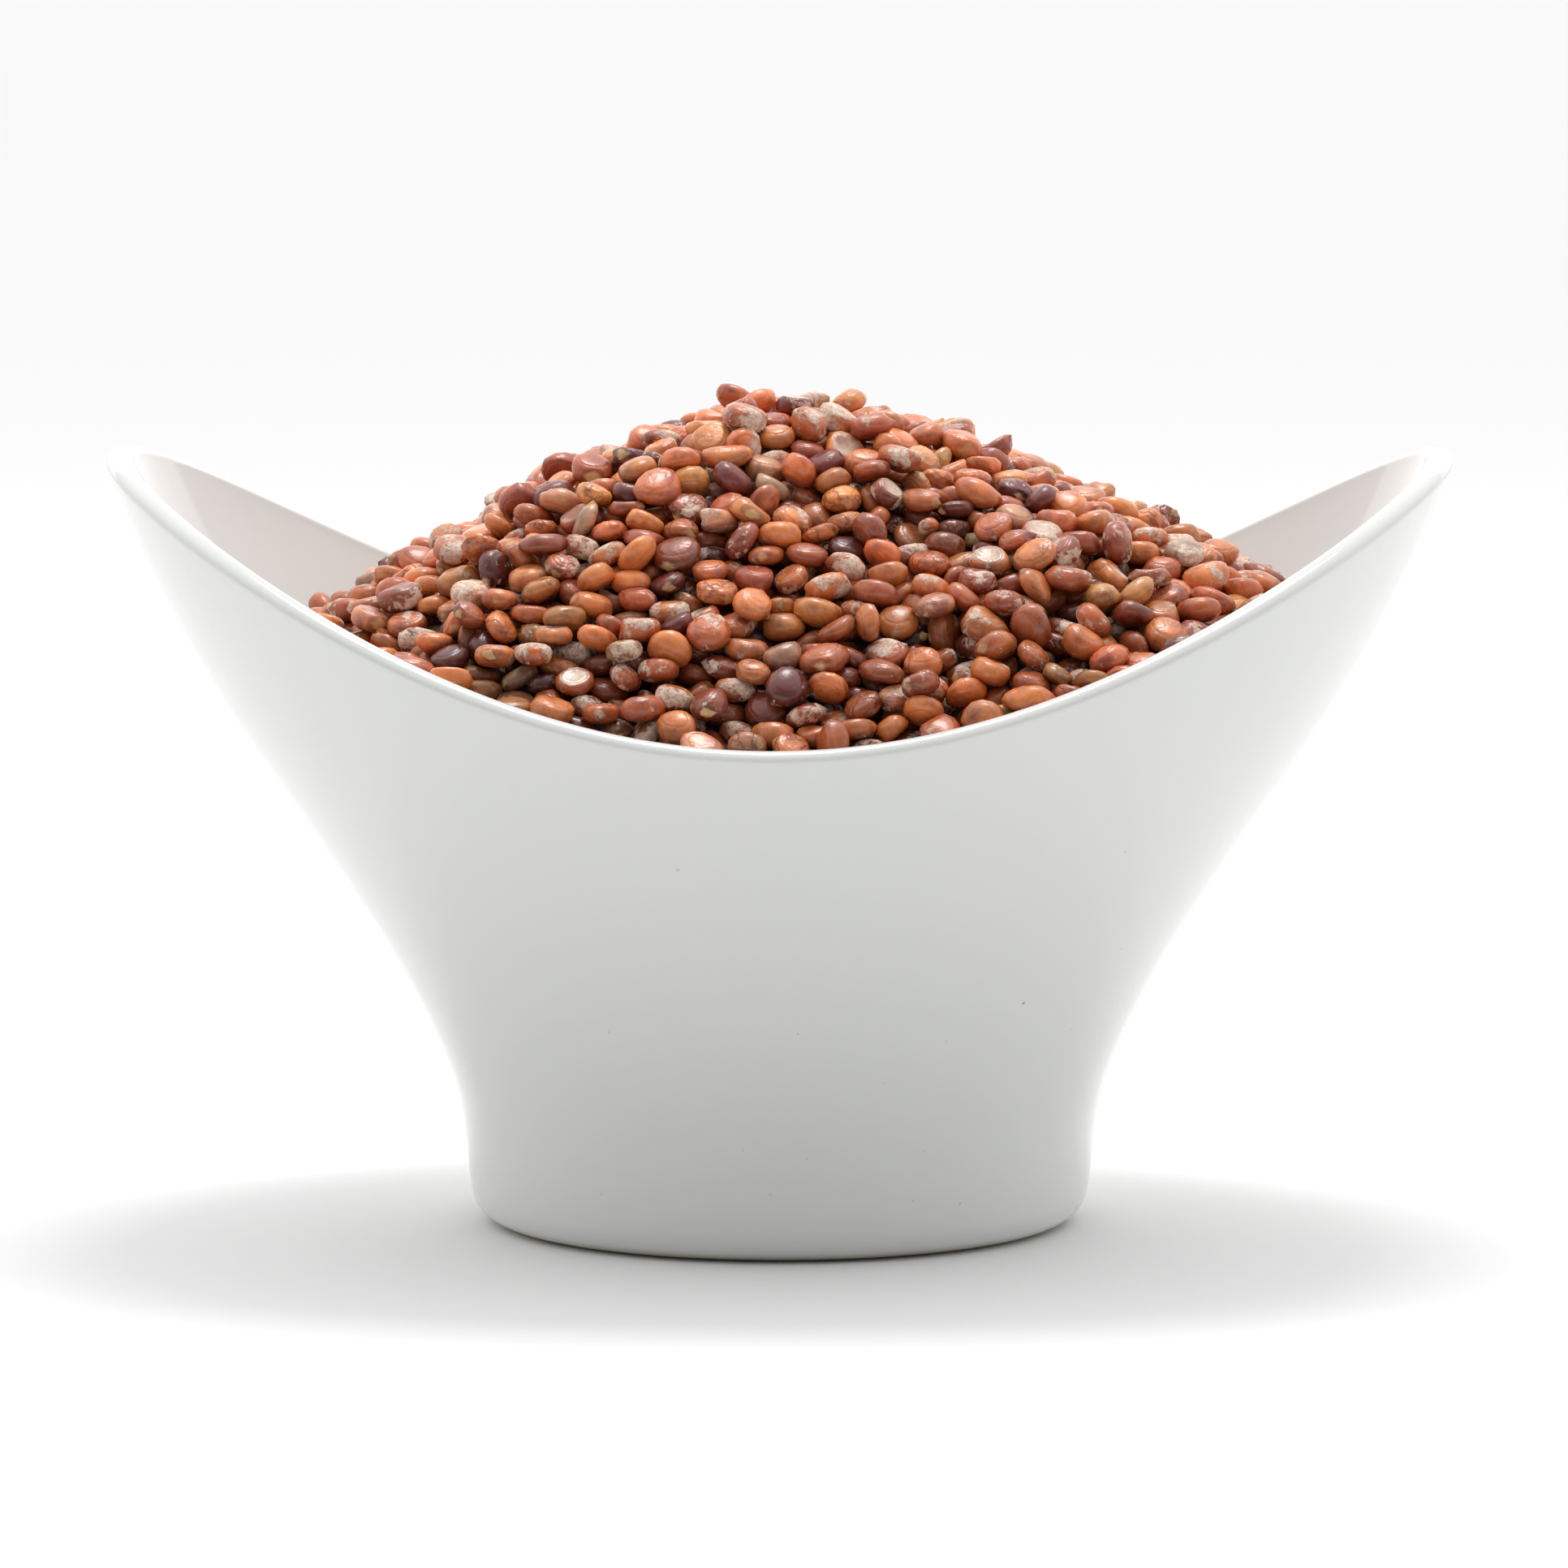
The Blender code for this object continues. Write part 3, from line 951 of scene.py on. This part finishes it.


# the dark lump under the grains, which shows only in the deepest gaps: it stands for the buried seeds,
# coloured near-black as painted shade
coreShape = {
    "columns": 96,
    "filletSteps": 5,
    "wallRows": 8,
    "wallLean": 0.4,
    "wallDepth": 0.8,
    "lidRows": 24,
    "lidSpan": (0.97, 0.03),
    "lidDepth": 0.9,
    "lidStep": 0.001,
    "inset": 0.0001,
    "start": 0.004,
    # near-black painted shade, far darker than any seed's own coat
    "dark": (0.010, 0.004, 0.003, 1),
    "pale": (0.045, 0.016, 0.010, 1),
    "mottle": 700.0,
    "roughness": 0.9,
}


def gapShadeFinish():
    finish = Finish(bpy.data.materials.new("deep gap shade"))
    # the core's near-black colour is painted shade for the deepest gaps
    tone = finish.noise(finish.place(), coreShape["mottle"], 3.0)
    colour = finish.blend(tone, coreShape["dark"], coreShape["pale"])
    finish.set(Base_Color=colour, Roughness=coreShape["roughness"])
    return finish.owner


def makeCore():
    # a lump that fills the bowl up to a few grains' depth under the heap's surface
    s = heapShape
    c = coreShape
    base = wallShape["filletTop"]
    top = s["edgeLevel"]
    floor = wallShape["floor"] + s["gap"]
    inset = s["gap"] + c["inset"]
    lowRadius = float(cavityRadius(base, 0.0)) - inset
    flat = wallShape["floorRadius"]
    curve = arc((flat, base), (lowRadius - flat, base - floor), -90, 0, c["filletSteps"])
    wall = [(lowRadius + (z - base) * c["wallLean"], z) for z in np.linspace(base, top, c["wallRows"])[1:]]
    rim = wall[-1][0]
    shares = np.linspace(*c["lidSpan"], c["lidRows"])
    lid = [(rim * share, top + c["lidStep"] * (1 - share)) for share in shares]
    core = turnProfile("heapCore", [(c["start"], floor)] + curve + wall + lid, c["columns"])
    points = readPoints(core.data)
    radius = np.hypot(points[:, 0], points[:, 1])
    angle = np.arctan2(points[:, 1], points[:, 0])
    edge = edgeHeight(angle) - s["coreDepth"] * c["wallDepth"]
    climb = ((points[:, 2] - base) / (top - base)).clip(0, 1)
    height = base + climb * (edge - base)
    onWall = (climb > 0) & (points[:, 2] < top + 1e-6)
    onLid = points[:, 2] > top + 1e-6
    reach = cavityRadius(height, angle) - inset
    share = np.where(onLid, radius / rim, 1)
    moved = np.where(climb > 0, reach * share, radius)
    x, y = moved * np.cos(angle), moved * np.sin(angle)
    lidHeight = domeHeight(x, y)[0] - s["coreDepth"] * c["lidDepth"]
    z = np.where(onLid, lidHeight, np.where(onWall, height, points[:, 2]))
    writePoints(core.data, np.stack([x, y, z], 1))
    finishPiece(core, gapShadeFinish())
    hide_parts("quinoa")
    print("filled the bowl under the grains")


stage = {"size": 30, "colour": (0.88, 0.88, 0.88, 1), "roughness": 0.9}


def makeStage():
    pickNothing()
    bpy.ops.mesh.primitive_plane_add(size=stage["size"], location=(0, 0, 0))
    floor = bpy.context.object
    floor.name = "paleFloor"
    finish = Finish(bpy.data.materials.new("pale floor"))
    finish.set(Base_Color=stage["colour"], Roughness=stage["roughness"])
    floor.data.materials.append(finish.owner)


# light from all round: dim from the camera's side, bright overhead and from a wide screen at the back
studio = {
    "front": 0.19,
    "side": 0.95,
    "top": 0.58,
    "screen": 0.45,
    "frontEdge": (-0.85, 0.10),
    "screenEdge": (0.82, 0.84),
    "topFall": 2.0,
    "lampPlace": (0.02, 0.12, 0.46),
    "lampSize": 0.15,
    "lampPower": 0.82,
    "lampAim": (0, 0, 0.03),
}


def makeLight():
    world = bpy.data.worlds.new("studio")
    bpy.context.scene.world = world
    finish = Finish(world)
    _, y, z = finish.split(finish.place("Generated"))
    strength = studio["front"] + (studio["side"] - studio["front"]) * y.step(*studio["frontEdge"])
    strength = strength + studio["screen"] * y.step(*studio["screenEdge"])
    strength = strength + studio["top"] * z.largest(0.0) ** studio["topFall"]
    finish.set(Color=(1, 1, 1, 1), Strength=strength)
    lamp = bpy.data.lights.new("overBack", "AREA")
    lamp.size = studio["lampSize"]
    lamp.energy = studio["lampPower"]
    holder = bpy.data.objects.new("overBack", lamp)
    holder.location = studio["lampPlace"]
    aim = Vector(studio["lampAim"]) - holder.location
    holder.rotation_euler = aim.to_track_quat("-Z", "Y").to_euler()
    bpy.context.scene.collection.objects.link(holder)


# the photograph's camera: a long lens, a little above the bowl, looking slightly down
camera = {
    "place": (0.0081, -0.500, 0.0789),
    "pitchDown": 6.10,
    "turn": 0.90,
    "lens": 198.9,
    "sensor": 36,
    "nearest": 0.01,
}


def makeCamera():
    data = bpy.data.cameras.new("camera")
    data.lens = camera["lens"]
    data.sensor_width = camera["sensor"]
    data.clip_start = camera["nearest"]
    holder = bpy.data.objects.new("camera", data)
    holder.location = camera["place"]
    holder.rotation_euler = (math.radians(90 - camera["pitchDown"]), 0, math.radians(camera["turn"]))
    bpy.context.scene.collection.objects.link(holder)
    bpy.context.scene.camera = holder


makeStage()
makeLight()
makeCamera()
bpy.context.scene.view_settings.view_transform = "Standard"
makeBowl()
print("turned the bowl")
makeCore()
makeHeap()
print("heaped the quinoa")
